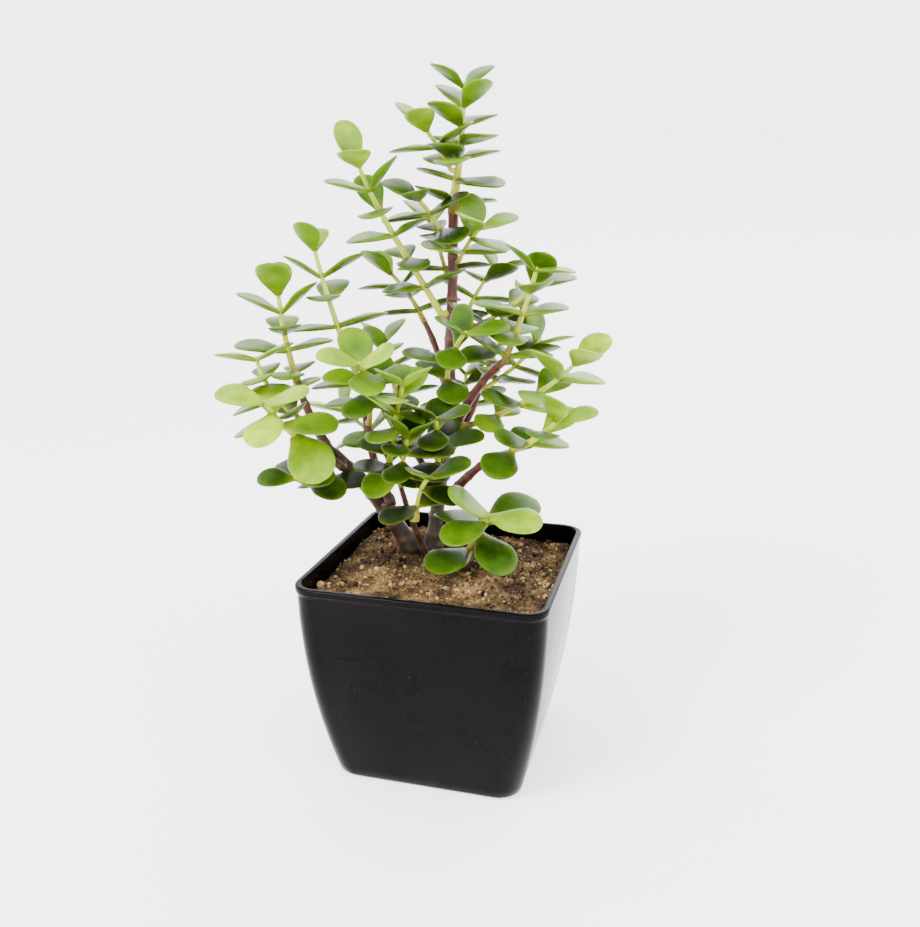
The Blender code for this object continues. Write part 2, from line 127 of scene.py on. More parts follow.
# Woody stems: parent and share of the way up it, or no parent and x, y of the foot; heading and how far
# it swings round; rise at foot and tip; length in mm; radii in mm at foot and tip
WOOD = {
    "trunk": (None, TRUNK_FOOT, 60, 0, (80, 90), 140, (3.5, 2.0)),
    "branch_left": (None, LEFT_FOOT, -150, 30, (60, 45), 55, (3.5, 2.5)),
    "branch_left_outer": ("branch_left", 1.0, -165, 0, (60, 75), 30, (2.0, 1.5)),
    "branch_left_middle": ("branch_left", 0.4, -120, 0, (60, 90), 50, (2.0, 1.5)),
    "branch_front_left": ("branch_left", 0.9, -120, 15, (45, 30), 30, (1.6, 1.3)),
    "branch_right": ("trunk", 0.35, -15, 0, (70, 40), 40, (2.0, 1.5)),
    "branch_right_low": ("trunk", 0.15, -30, 0, (50, 35), 35, (2.2, 1.6)),
    "branch_back": ("trunk", 0.5, 120, 30, (55, 50), 30, (1.6, 1.2)),
    "branch_back_right": ("trunk", 0.3, 60, 15, (45, 55), 35, (1.8, 1.3)),
    "branch_back_left": ("trunk", 0.2, 150, -15, (45, 55), 35, (1.8, 1.3)),
    "stem_middle": (None, MIDDLE_FOOT, -120, 30, (65, 60), 40, (1.3, 1.0)),
}

# How a shoot grows: rise at its foot and tip, bare share of it, tilt of its leaves at the foot and the
# top, leaf size
HABITS = {
    "leader": ((75, 90), 0.05, (5, 35), 1.05),
    "erect": ((75, 85), 0.1, (5, 50), 1.0),
    "slanting": ((65, 75), 0.1, (5, 40), 1.0),
    "leaning": ((60, 45), 0.2, (5, 55), 1.0),
    "arching": ((60, 35), 0.3, (5, 35), 1.0),
    "turned_up": ((30, 80), 0.25, (5, 20), 1.0),
    "spreading": ((20, 45), 0.3, (5, 45), 1.05),
    "low": ((10, 20), 0.35, (-10, 10), 1.0),
    "broad": ((35, 50), 0.05, (-15, 15), 1.2),
    "rosette": ((70, 30), 0.2, (-10, 25), 1.3),
}

# Leafy shoots: parent and share, or no parent and foot; heading and swing; habit; length in mm; pairs of
# leaves; how the top pair stands
SHOOTS = {
    "shoot_crown": ("trunk", 1.0, -30, 0, "leader", 45, 7, RIGHT_CORNER),
    "shoot_crown_front": ("shoot_crown", 0.3, -135, 0, "leaning", 20, 3, FRONT_TO_BACK),
    "shoot_crown_left": ("trunk", 0.9, -120, 0, "arching", 25, 3, FRONT_TO_BACK),
    "shoot_upper_left": ("trunk", 0.7, -150, 60, "leaning", 75, 6, FRONT_TO_BACK),
    "shoot_upper_right": ("trunk", 0.85, -30, 0, "arching", 20, 3, RIGHT_CORNER),
    "shoot_thin_right": ("trunk", 0.65, 0, -15, "spreading", 40, 3, SIDEWAYS),
    "shoot_right": ("branch_right", 1.0, -15, 0, "slanting", 40, 5, SIDEWAYS),
    "shoot_far_right": ("branch_right", 0.2, -15, 0, "spreading", 60, 5, FRONT_TO_BACK),
    "shoot_right_low": ("branch_right_low", 1.0, -30, 0, "spreading", 40, 4, SIDEWAYS),
    "shoot_trunk_front": ("trunk", 0.45, -75, 30, "arching", 45, 4, SIDEWAYS),
    "shoot_trunk_low": ("trunk", 0.2, -75, 0, "arching", 50, 4, SIDEWAYS),
    "shoot_back": ("branch_back", 1.0, 165, 30, "leaning", 25, 4, FRONT_TO_BACK),
    "shoot_outer": ("branch_left_outer", 1.0, -135, 30, "erect", 35, 5, FRONT_TO_BACK),
    "shoot_leftmost": ("branch_left_outer", 0.5, -120, -45, "turned_up", 35, 4, SIDEWAYS),
    "shoot_left_middle": ("branch_left_middle", 1.0, -180, -15, "slanting", 60, 6, FRONT_TO_BACK),
    "shoot_left_front": ("branch_left_middle", 0.8, -60, -30, "arching", 40, 5, SIDEWAYS),
    "shoot_bright": ("branch_left_middle", 0.3, -60, 0, "leaning", 60, 6, SIDEWAYS),
    "shoot_front_left": ("branch_front_left", 1.0, -105, 15, "broad", 25, 4, SIDEWAYS),
    "shoot_low_left": ("branch_left", 0.75, -135, 45, "low", 30, 3, SIDEWAYS),
    "shoot_middle": ("stem_middle", 1.0, -60, 0, "leaning", 30, 5, SIDEWAYS),
    "shoot_middle_front": ("stem_middle", 0.5, -75, 30, "arching", 35, 3, RIGHT_CORNER),
    "shoot_front": (None, FRONT_FOOT, -15, -60, "rosette", 35, 4, LEFT_CORNER),
    "shoot_back_right": ("branch_back_right", 1.0, 60, -30, "leaning", 35, 4, SIDEWAYS),
    "shoot_back_left": ("branch_back_left", 1.0, 135, -15, "leaning", 35, 5, SIDEWAYS),
    "shoot_back_low": ("branch_back_right", 0.5, 105, 0, "spreading", 30, 4, RIGHT_CORNER),
    "shoot_back_upper": ("trunk", 0.6, 75, -15, "arching", 45, 4, SIDEWAYS),
    "shoot_back_crown": ("trunk", 0.8, 135, -15, "leaning", 30, 3, SIDEWAYS),
    "shoot_side_left": ("branch_back_left", 0.5, -165, 0, "spreading", 35, 4, SIDEWAYS),
    "shoot_side_right": ("branch_right", 0.6, 45, 0, "spreading", 35, 4, SIDEWAYS),
}


def unit(v):
    """A vector of length 1 in the direction of v."""
    return v / np.linalg.norm(v)


def facing(heading, rise):
    """The direction with a heading and a rise above level."""
    h, e = math.radians(heading), math.radians(rise)
    return np.array([math.cos(h) * math.cos(e), math.sin(h) * math.cos(e), math.sin(e)])


def across(v, axis):
    """The part of v square to the axis."""
    return unit(v - axis * (v @ axis))


class Stem:
    """A curved round stem: its middle line, and its radius from foot to tip."""

    def __init__(self, start, headings, rises, length, radii, lead=None, steps=8):
        line = [np.array(start, float)]
        if lead is not None:
            line.append(line[0] + lead)
        for k in range(steps):
            s = (k + 0.5) / steps
            heading = headings[0] + (headings[1] - headings[0]) * s
            rise = rises[0] + (rises[1] - rises[0]) * s
            line.append(line[-1] + facing(heading, rise) * length / steps)
        self.line = np.array(line)
        self.radii = radii
        sides = np.linalg.norm(np.diff(self.line, axis=0), axis=1)
        self.run = np.concatenate([[0], np.cumsum(sides)])
        self.length = self.run[-1]
        self.foot_axis = unit(self.line[1] - self.line[0])

    def point(self, share):
        return np.array([np.interp(share * self.length, self.run, self.line[:, k]) for k in range(3)])

    def axis(self, share):
        if share <= 0:
            return self.foot_axis
        return unit(self.point(min(1, share + 0.04)) - self.point(max(0, share - 0.04)))

    def radius(self, share):
        return self.radii[0] + (self.radii[1] - self.radii[0]) * share


def soil_height(x, y):
    """The height of the soil, a low mound round the trunk's foot."""
    reach = math.hypot(x - TRUNK_FOOT[0], y - TRUNK_FOOT[1]) / (MOUND_REACH * POT_TOP_WIDTH)
    return POT_HEIGHT - SOIL_BELOW_RIM + SOIL_MOUND * math.exp(-reach * reach)


def start_on(parent, share, heading, rise, radius):
    """Where a stem starts on its parent, a gap clear of its skin, and its first short step out from it."""
    axis = parent.axis(share)
    if share == 1.0:
        return parent.point(1) + axis * GAP, axis * radius
    out = across(facing(heading, rise), axis)
    return parent.point(share) + out * (parent.radius(share) + GAP), out * 1.2 * radius


def stem_from(found, parent, place, heading, swing, rises, length, radii):
    """A stem that grows out of the soil, out of another stem's side, or on from its end."""
    if parent is None:
        lead = facing(heading, rises[0]) * radii[0]
        foot_gap = GAP + radii[0] * math.cos(math.radians(rises[0])) + 0.05 * radii[0]
        start = (*place, soil_height(*place) + foot_gap)
    else:
        start, lead = start_on(found[parent], place, heading, rises[0], radii[0])
    return Stem(start, (heading, heading + swing), rises, length, radii, lead)


def shoot_radii(parent, share, length):
    """A shoot's radii. One that carries its parent on starts almost as thick as that ends."""
    if parent is None:
        foot = ROOTED_RADIUS * STEM_GIRTH
    elif share == 1.0:
        foot = 0.95 * parent.radii[1]
    else:
        foot = (SHOOT_RADIUS + SHOOT_TAPER * length) * STEM_GIRTH
    return foot, min(foot, TIP_RADIUS * STEM_GIRTH)


def stems():
    """Every stem by name, parents first."""
    found = {}
    for name, (parent, place, heading, swing, rises, length, radii) in WOOD.items():
        radii = [r * MM * STEM_GIRTH for r in radii]
        found[name] = stem_from(found, parent, place, heading, swing, rises, length * MM * PLANT_REACH, radii)
    for name, (parent, place, heading, swing, habit, length, _, _) in SHOOTS.items():
        length = length * MM * PLANT_REACH
        radii = shoot_radii(found.get(parent), place, length)
        found[name] = stem_from(found, parent, place, heading, swing, HABITS[habit][0], length, radii)
    return found


def ring(middle, axis, side, radius):
    """STEM_SIDES points round an axis, the first in the side direction."""
    up = np.cross(axis, side)
    turns = [2 * math.pi * k / STEM_SIDES for k in range(STEM_SIDES)]
    return [middle + radius * (math.cos(t) * side + math.sin(t) * up) for t in turns]


class Body:
    """A closed mesh being built up ring by ring."""

    def __init__(self):
        self.points, self.faces = [], []

    def add(self, points):
        first = len(self.points)
        self.points += [np.array(p) for p in points]
        return list(range(first, first + len(points)))

    def skin(self, lower, upper):
        n = len(lower)
        for k in range(n):
            self.faces.append((lower[k], lower[(k + 1) % n], upper[(k + 1) % n], upper[k]))

    def cap(self, loop, outward=True):
        self.faces.append(tuple(loop if outward else reversed(loop)))


class Leaf:
    """One fleshy spoon-shaped leaf: its foot on the stem, direction, upper side, length and stem's girth."""

    def __init__(self, foot, along, top, length, girth):
        self.foot, self.along, self.top, self.length, self.girth = foot, along, top, length, girth
        self.side = np.cross(top, along)

    def droop(self, share):
        """How far its middle line has curved away from straight, some share of the way up it."""
        return -LEAF_DROOP * self.length * (share - 0.35) ** 2

    def sections(self, grow=0.0):
        """Six-point sections up the leaf: three below from left to right, then three above, back again."""
        broad, deep = LEAF_WIDTH * self.length, LEAF_THICK * self.length
        foot = (0.02, 1.4 * self.girth / broad, 1.5 * self.girth / deep)
        for share, wide, thick in (foot, *LEAF_STATIONS):
            middle = self.foot + self.along * self.length * share + self.top * self.droop(share)
            half = 0.5 * broad * wide + grow
            high = 0.5 * deep * thick + grow
            low_rim, high_rim = 0.12 * half - 0.45 * high, 0.12 * half + 0.45 * high
            below = ((-half, low_rim), (0, -high), (half, low_rim))
            above = ((half, high_rim), (0, high), (-half, high_rim))
            yield [middle + self.side * x + self.top * z for x, z in below + above]

    def tree(self, grow=0.0, first=0, last=None):
        """The leaf's skin, or its stations from first up to last, as a tree to test against."""
        body = Body()
        rings = [body.add(s) for s in list(self.sections(grow))[first:last]]
        body.cap(rings[0], False)
        for lower, upper in zip(rings, rings[1:]):
            body.skin(lower, upper)
        body.cap(rings[-1])
        return BVHTree.FromPolygons([Vector(p) for p in body.points], body.faces)

    def box(self):
        points = np.array([p for s in self.sections(GAP) for p in s])
        return points.min(0), points.max(0)


def leaf_from(stem, share, side, tilt, length, sweep=0.0):
    """A leaf that leaves its stem to one side, tilted up along it and swept round it."""
    axis = stem.axis(share)
    turned = math.radians(sweep)
    out = side * math.cos(turned) + np.cross(axis, side) * math.sin(turned)
    out = unit(out * (1, 1, LEVELLING))
    t = math.radians(tilt)
    along = unit(out * math.cos(t) + axis * math.sin(t))
    top = across(0.6 * axis + np.array([0, 0, 1]), along)
    foot = stem.point(share) + side * stem.radius(share) * 0.9
    return Leaf(foot, along, top, length, stem.radius(share))


# Ways a crowded leaf gives way, tried in order: added tilt and sweep round the stem, then a smaller leaf
ASIDE = (
    (0, 0), (10, 0), (-10, 0), (0, 14), (0, -14), (18, 10), (18, -10), (-16, 10), (-16, -10),
    (28, 0), (0, 26), (0, -26), (-26, 0), (36, 16), (36, -16), (-30, 18), (-30, -18),
)
GIVE_WAY = [(*aside, size) for size in (1.0, 0.88, 0.76, 0.64, 0.52, 0.4, 0.3) for aside in ASIDE]


class Room:
    """What already stands, for a new leaf to keep clear of."""

    def __init__(self):
        self.things = []

    def put(self, tree, low, high, owner):
        """Adds a thing: its skin, its lowest and highest corners, and whose it is."""
        self.things.append((tree, low, high, owner))

    def clear(self, leaf, owner):
        """Whether a leaf is clear of everything but its twin; its own stem may touch its foot."""
        low, high = leaf.box()
        whole, blade = None, None
        for other, a, b, whose in self.things:
            if whose == owner or (low > b).any() or (high < a).any():
                continue
            if whose == owner[0]:
                blade = blade or leaf.tree(first=1)
                if blade.overlap(other):
                    return False
                continue
            whole = whole or leaf.tree(GAP)
            if whole.overlap(other):
                return False
        return True


def stem_body(stem):
    """A plain round stem, closed at both ends, for leaves to keep clear of."""
    body = Body()
    side = across(np.array([1.0, 0.2, 0.1]), stem.axis(0))
    loops = []
    for k, share in enumerate(np.concatenate([[0], stem.run[1:] / stem.length])):
        side = across(side, stem.axis(share))
        loops.append(body.add(ring(stem.point(share), stem.axis(share), side, stem.radius(share))))
    body.cap(loops[0], False)
    for lower, upper in zip(loops, loops[1:]):
        body.skin(lower, upper)
    body.cap(loops[-1])
    return body


def tree_of(body):
    """A body's skin as a tree to test against, with its lowest and highest corners."""
    points = np.array(body.points)
    return BVHTree.FromPolygons([Vector(p) for p in points], body.faces), points.min(0), points.max(0)


def pair_places(name, stem, habit, pairs, turn):
    """For each pair of leaves from the foot up: its share of the stem, side direction, tilts and lengths."""
    _, bare, tilts, size = HABITS[habit]
    wander = random.Random(name).uniform
    top_share = 1 - 1.2 * stem.radii[1] / stem.length
    step = (top_share - bare) / (pairs - 1)
    for k in range(pairs):
        up = k / (pairs - 1)
        share = bare + (top_share - bare) * up ** 0.9
        if 0 < k < pairs - 1:
            share += wander(-LEAF_PLACE_WANDER, LEAF_PLACE_WANDER) * step
        heading = turn + 90 * ((pairs - 1 - k) % 2) + wander(-LEAF_TURN_WANDER, LEAF_TURN_WANDER)
        side = across(facing(heading, 0), stem.axis(share))
        length = size * (LOWER_LEAF + (TOP_LEAF - LOWER_LEAF) * up ** 2)
        tilt = tilts[0] + (tilts[1] - tilts[0]) * up ** 2
        yield share, side, [
            (way, tilt + wander(-LEAF_TILT_WANDER, LEAF_TILT_WANDER),
             length * (1 + wander(-LEAF_SIZE_WANDER, LEAF_SIZE_WANDER)))
            for way in (1, -1)
        ]


def grow_leaves(found, room):
    """The leaves of every leafy shoot, each one turned aside where something already stands.

    The feet of all the leaves are set first, so that no leaf lies over the place of a later one.
    """
    leaves = {}
    places = {
        name: list(pair_places(name, found[name], habit, pairs, turn))
        for name, (*_, habit, _, pairs, turn) in SHOOTS.items()
    }
    for name, pairs in places.items():
        for share, side, pair in pairs:
            for way, tilt, length in pair:
                leaf = leaf_from(found[name], share, way * side, tilt, length)
                room.put(leaf.tree(last=2), *leaf.box(), (name, share))
    for name, pairs in places.items():
        stem, leaves[name] = found[name], []
        for share, side, pair in pairs:
            grown = []
            for way, tilt, length in pair:
                for more, sweep, scale in GIVE_WAY:
                    leaf = leaf_from(stem, share, way * side, tilt + more, length * scale, sweep)
                    if room.clear(leaf, (name, share)):
                        break
                grown.append(leaf)
                room.put(leaf.tree(first=1), *leaf.box(), (name, share, way))
            for leaf in grown:
                room.put(leaf.tree(), *leaf.box(), (name, share))
            leaves[name].append((share, side, grown))
    return leaves


def rounded_square(width, corner, z, steps=CORNER_STEPS):
    """Points round a square with round corners, some steps to a corner."""
    half = width / 2 - corner
    points = []
    for quarter, (x, y) in enumerate(((1, 1), (-1, 1), (-1, -1), (1, -1))):
        for k in range(steps + 1):
            t = math.radians(90 * (quarter + k / steps))
            points.append((x * half + corner * math.cos(t), y * half + corner * math.sin(t), z))
    return points


def pot_width(z):
    """The outer width at a height: steep near the rim, curving in towards the base."""
    up = z / POT_HEIGHT
    spread = POT_TOP_WIDTH - 2 * RIM_PROUD - POT_BASE_WIDTH
    return POT_BASE_WIDTH + spread * (1 - (1 - up) ** (1 + POT_BELLY))


def inner_rows():
    """The heights of the inner wall's rows, from the pot's floor up."""
    return [POT_WALL, *(share * POT_HEIGHT for share in WALL_ROWS), POT_HEIGHT - RIM_ROUND]


def pot_body():
    """The pot: tapered walls with a proud band round the rim, open at the top, its floor closed."""
    body = Body()
    band = POT_HEIGHT - RIM_BAND
    outer = [(pot_width(0) - 2 * BASE_ROUND, 0), (pot_width(BASE_ROUND), BASE_ROUND)]
    outer += [(pot_width(share * POT_HEIGHT), share * POT_HEIGHT) for share in WALL_ROWS]
    outer += [(pot_width(band), band - RIM_PROUD), (POT_TOP_WIDTH, band)]
    outer += [(POT_TOP_WIDTH, POT_HEIGHT - RIM_ROUND), (POT_TOP_WIDTH - 2 * RIM_ROUND, POT_HEIGHT)]
    inner = [(pot_width(POT_HEIGHT) - 2 * (POT_WALL - RIM_ROUND), POT_HEIGHT)]
    inner += [(pot_width(z) - 2 * POT_WALL, z) for z in reversed(inner_rows())]
    loops = [body.add(rounded_square(width, POT_CORNER, z)) for width, z in outer]
    loops += [body.add(rounded_square(width, POT_CORNER - POT_WALL, z)) for width, z in inner]
    for lower, upper in zip(loops, loops[1:]):
        body.skin(lower, upper)
    body.cap(loops[0], False)
    body.cap(loops[-1])
    return body


def soil_width(z):
    """The soil's width at a height, a gap clear of the pot's inner wall."""
    rows = inner_rows()
    return np.interp(z, rows, [pot_width(row) for row in rows]) - 2 * (POT_WALL + GAP)


def soil_body():
    """The soil: a low mound inside the pot, down to a flat bottom."""
    body = Body()
    corner = POT_CORNER - POT_WALL
    top = POT_HEIGHT - SOIL_BELOW_RIM
    rings = []
    for deep in (1, 0.6, 0.25, 0):
        z = top - deep * SOIL_DEPTH
        rings.append(body.add(rounded_square(soil_width(z), corner, z)))
    for share in (0.8, 0.6, 0.4, 0.2):
        flat = rounded_square(soil_width(top) * share, corner * share, 0)
        rings.append(body.add([(x, y, soil_height(x, y)) for x, y, _ in flat]))
    middle = body.add([(0, 0, soil_height(0, 0))])[0]
    body.cap(rings[0], False)
    for lower, upper in zip(rings, rings[1:]):
        body.skin(lower, upper)
    for a, b in zip(rings[-1], rings[-1][1:] + rings[-1][:1]):
        body.faces.append((a, b, middle))
    return body


# ---- Looks ----

# The camera: the heading and rise it looks from, its distance from the point it looks at, its lens and the
# width of its sensor in mm; then the point's x and y, and its height as a share of the object's
VIEW_HEADING, VIEW_RISE, VIEW_DISTANCE, VIEW_LENS, SENSOR_WIDTH = -75, 16, 0.375, 36, 36.0
VIEW_AIM = (5 * MM, 0)
VIEW_AIM_HEIGHT = 0.45

# The studio: the radius of its flat floor, the radius of the curve that turns it up, and its wall's top
FLOOR_FLAT, FLOOR_CURVE, WALL_TOP = 0.8, 0.9, 2.4
FLOOR_AROUND = 64

# Lamps: where each hangs, its width and its power in watts, and the height on the object they all face
LAMPS = {
    "key": ((-0.55, -0.75, 1.05), 0.45, 30),
    "fill": ((0.95, -0.35, 0.75), 0.8, 8),
    "back": ((0.2, 1.0, 0.9), 0.9, 12),
}
LAMP_AIM_HEIGHT = 0.12

# A drawn leaf: how far up it each ring of points lies, the points in a ring, its length as a share of the
# plain leaf's, where it is widest, and how far its tip drops as a share of its length
LEAF_RINGS = (0.0, 0.05, 0.12, 0.21, 0.31, 0.42, 0.53, 0.63, 0.73, 0.82, 0.895, 0.95, 0.985)
LEAF_AROUND = 14
VISUAL_LENGTH = 0.97
WIDEST = 0.6
TIP_DROP = 0.042

# Stems: the steps a stem is drawn in, how far the swelling at a ring reaches, how far the flare at its foot
# does, the distance between rings on bare wood, and how deep a rooted stem and a rooted shoot go
STEM_STEP = 1.1 * MM
RING_REACH = 1.0 * MM
FLARE_REACH = 3.5 * MM
RING_SPACING = 8.5 * MM
WOOD_ROOT, SHOOT_ROOT = 4 * MM, 3 * MM

# Painted shade: a leaf's colour darkens from SHADE_TOP down over SHADE_FADE, and within SHADE_REACH of the
# pot's middle line
SHADE_TOP, SHADE_FADE, SHADE_REACH = 150 * MM, 60 * MM, 45 * MM

# The drawn pot: the rounding of its lip outside and inside, and the points at a corner
LIP_ROUND, INNER_LIP_ROUND = 0.8 * MM, 0.5 * MM
POT_CORNER_STEPS = 9

# The drawn soil: how far it lies under the CAD's mound, rings from its edge to its middle, spans to a corner
# and to a straight side, the number of crumbs, a scale for their sizes in mm, and how far they keep from
# the soil's edge
SOIL_SINK = 0.5 * MM
SOIL_RINGS, SOIL_CORNER_STEPS, SOIL_SIDE_STEPS = 46, 15, 30
CRUMBS, CRUMB_SIZE = 3600, 0.85
CRUMB_EDGE = 1.0 * MM

# Colours along each material's range, from 0 to 1
LEAF_COLOURS = (
    (0.0, (0.002, 0.006, 0.0002)), (0.25, (0.008, 0.025, 0.0002)), (0.5, (0.033, 0.086, 0.0003)),
    (0.75, (0.115, 0.22, 0.0008)), (1.0, (0.36, 0.48, 0.012)),
)
STEM_COLOURS = (
    (0.0, (0.36, 0.50, 0.02)), (0.25, (0.42, 0.42, 0.03)), (0.42, (0.15, 0.085, 0.012)),
    (0.58, (0.085, 0.012, 0.009)), (0.8, (0.030, 0.010, 0.006)), (1.0, (0.020, 0.011, 0.006)),
)
SOIL_COLOURS = (
    (0.0, (0.006, 0.003, 0.002)), (0.3, (0.022, 0.011, 0.005)), (0.55, (0.072, 0.041, 0.015)),
    (0.8, (0.20, 0.122, 0.046)), (1.0, (0.40, 0.28, 0.13)),
)

# How far a shoot's leaves lean from deep green (0) to pale yellow-green (1), where it isn't USUAL_TONE
# Each tone is partly the shoot's own green and partly painted light and shade: paler for shoots in bright
# light, darker for shoots in shade
USUAL_TONE = 0.4
TONES = {
    "shoot_front_left": 0.78, "shoot_bright": 0.66, "shoot_crown": 0.5, "shoot_crown_front": 0.6,
    "shoot_upper_left": 0.5, "shoot_far_right": 0.62, "shoot_right": 0.55, "shoot_right_low": 0.55,
    "shoot_left_front": 0.6, "shoot_trunk_front": 0.45, "shoot_front": 0.68, "shoot_outer": 0.5,
    "shoot_left_middle": 0.45, "shoot_leftmost": 0.5, "shoot_low_left": 0.22, "shoot_middle": 0.25,
    "shoot_middle_front": 0.35, "shoot_trunk_low": 0.42, "shoot_crown_left": 0.3,
    "shoot_upper_right": 0.6,
}

# How old a shoot's stem looks at its foot, where it stands on wood and isn't FOOT_AGE: 0 is green, 0.6
# red-brown
FOOT_AGE = 0.34
FOOT_AGES = {
    "shoot_upper_left": 0.24, "shoot_crown": 0.36, "shoot_outer": 0.34, "shoot_left_middle": 0.3,
    "shoot_thin_right": 0.55, "shoot_right": 0.42, "shoot_far_right": 0.4, "shoot_right_low": 0.45,
}


class Skin:
    """A mesh being gathered, with a few numbers kept for every point."""

    def __init__(self, *fields):
        self.points, self.faces, self.slots = [], [], []
        self.fields = {name: [] for name in fields}

    def add(self, points, **values):
        first = len(self.points)
        self.points += [tuple(p) for p in points]
        for name, kept in self.fields.items():
            value = values.get(name, 0.0)
            kept += list(value) if np.ndim(value) else [float(value)] * len(points)
        return list(range(first, first + len(points)))

    def band(self, lower, upper, slot=0):
        """Joins two rings of points."""
        n = len(lower)
        for k in range(n):
            self.faces.append((lower[k], lower[(k + 1) % n], upper[(k + 1) % n], upper[k]))
            self.slots.append(slot)

    def fan(self, loop, middle, slot=0, flip=False):
        """Closes a ring of points with triangles to a middle point."""
        n = len(loop)
        for k in range(n):
            a, b = loop[k], loop[(k + 1) % n]
            self.faces.append((b, a, middle) if flip else (a, b, middle))
            self.slots.append(slot)

    def piece(self, name, node, slot, *materials):
        """Makes the mesh an object that rides the root body in the place of a CAD node."""
        mesh = bpy.data.meshes.new(name)
        mesh.from_pydata(self.points, [], self.faces)
        for field, values in self.fields.items():
            mesh.attributes.new(field, "FLOAT", "POINT").data.foreach_set("value", values)
        for mat in materials:
            mesh.materials.append(mat)
        mesh.polygons.foreach_set("material_index", self.slots)
        mesh.polygons.foreach_set("use_smooth", [True] * len(mesh.polygons))
        mesh.update()
        thing = bpy.data.objects.new(name, mesh)
        bpy.context.scene.collection.objects.link(thing)
        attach(thing, "root")
        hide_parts(node)
        return thing


def smooth(x):
    """A step from 0 to 1 with soft ends."""
    x = min(1.0, max(0.0, x))
    return x * x * (3 - 2 * x)


def half_width(t):
    """A leaf's half width up its length, as a share of its widest: a narrow foot and a round spoon."""
    if t < WIDEST:
        return 0.24 + 0.76 * smooth(0.06 + t / WIDEST) ** 0.8
    return max(0.0, 1 - ((t - WIDEST) / (1 - WIDEST)) ** 2.2) ** 0.5


def leaf_skin(skin, leaf, tone, rng):
    """One smooth fleshy leaf: rounded rim, slightly dished top, fuller underside."""
    length = leaf.length * VISUAL_LENGTH
    twist = math.radians(rng.normal(0, 5))
    side = leaf.side * math.cos(twist) + leaf.top * math.sin(twist)
    top = leaf.top * math.cos(twist) - leaf.side * math.sin(twist)
    broad = 0.5 * LEAF_WIDTH * leaf.length * rng.uniform(0.93, 1.0)
    deep = 0.5 * LEAF_THICK * leaf.length * rng.uniform(0.92, 1.08)
    skew = rng.uniform(-0.05, 0.05)
    wave = rng.uniform(0, 2 * math.pi)
    foot = leaf.foot - leaf.along * 0.5 * leaf.girth
    length += 0.5 * leaf.girth
    turns = np.arange(LEAF_AROUND) * 2 * math.pi / LEAF_AROUND
    previous = None
    for t in LEAF_RINGS:
        wide = broad * half_width(t)
        stalk = (1 - smooth(t / 0.3)) * 0.75 * leaf.girth
        thick = deep * (0.72 + 0.28 * math.sin(math.pi * min(1, t * 1.2))) * max(0.02, 1 - t ** 7) ** 0.5
        wide, thick = max(wide, stalk), max(thick, stalk)
        middle = foot + leaf.along * length * t + top * leaf.droop(t)
        middle = middle + side * broad * skew * math.sin(math.pi * t)
        points, rim_highlights, unders = [], [], []
        for a in turns:
            x, z = math.cos(a), math.sin(a)
            rim = abs(x)
            lift = 0.17 * broad * smooth(t * 1.6) * (x * wide / broad) ** 2 * (1 - 0.3 * t)
            z = z * abs(z) ** 0.15 * (0.86 if z > 0 else 1.0)
            ripple = 1 + 0.02 * math.sin(3 * a + wave + 5 * t)
            points.append(middle + side * wide * x * ripple + top * (thick * z + lift))
            # Where the leaf's painted highlight shows: along its rim, and all round towards the tip
            rim_highlights.append(rim ** 6 if t < 0.85 else max(rim ** 6, smooth((t - 0.85) / 0.14)))
            unders.append(max(0.0, -z))
        ring_ids = skin.add(points, tone=tone, span=t, edge=rim_highlights, under=unders)
        if previous is not None:
            skin.band(previous, ring_ids)
        else:
            skin.fan(ring_ids, skin.add([middle], tone=tone)[0], flip=True)
        previous = ring_ids
    tip = foot + leaf.along * length + top * (0.05 * broad - TIP_DROP * leaf.length)
    skin.fan(previous, skin.add([tip], tone=tone, span=1.0, edge=1.0)[0])


def stem_skin(skin, stem, joints, ages, sunk, slot, rng, sides=12, flare=0.2, tip_close=0.5):
    """A stem with swollen rings where leaves grow or have fallen, its foot run on into what it grows from."""
    count = max(10, int(stem.length / STEM_STEP))
    side = across(np.array([1.0, 0.2, 0.1]), stem.axis(0))
    phase = rng.uniform(0, 2 * math.pi, 3)
    shares = list(np.linspace(0, 1, count))
    loops = []
    for share in [-sunk / stem.length] + shares:
        inside = max(share, 0.0)
        axis = stem.axis(inside)
        side = across(side, axis)
        middle = stem.point(inside) + axis * min(share, 0.0) * stem.length
        swell = sum(math.exp(-(((inside - j) * stem.length) / RING_REACH) ** 2) for j in joints)
        radius = stem.radius(inside) * (1 + 0.16 * min(1.5, swell))
        radius *= 1 + flare * math.exp(-inside * stem.length / FLARE_REACH)
        if share == 1.0:
            radius *= tip_close
        up = np.cross(axis, side)
        points = []
        for k in range(sides):
            a = 2 * math.pi * k / sides
            lobes = 1 + (0.03 + 0.10 * flare) * math.sin(2 * a + phase[0] + 9 * inside)
            lobes += 0.02 * math.sin(5 * a + phase[1])
            points.append(middle + radius * lobes * (math.cos(a) * side + math.sin(a) * up))
        age = ages[0] + (ages[1] - ages[0]) * inside
        loops.append(skin.add(points, age=age, swell=min(1.0, swell)))
    end = stem.point(0) - stem.axis(0) * sunk
    skin.fan(loops[0], skin.add([end], age=ages[0])[0], slot, flip=True)
    for lower, upper in zip(loops, loops[1:]):
        skin.band(lower, upper, slot)
    end = stem.point(1) + stem.axis(1) * 0.2 * stem.radius(1)
    skin.fan(loops[-1], skin.add([end], age=ages[1])[0], slot)


# ---- Materials ----

def new_material(name):
    """A material, its node tree and its shader."""
    mat = bpy.data.materials.new(name)
    mat.use_nodes = True
    return mat, mat.node_tree, mat.node_tree.nodes["Principled BSDF"]


def ramp(tree, colours, value):
    """The colour at a value, out of colours that each have their place from 0 to 1."""
    node = tree.nodes.new("ShaderNodeValToRGB")
    line = node.color_ramp
    while len(line.elements) < len(colours):
        line.elements.new(0.5)
    for element, (place, colour) in zip(line.elements, colours):
        element.position = place
        element.color = (*colour, 1)
    tree.links.new(value, node.inputs["Fac"])
    return node.outputs["Color"]


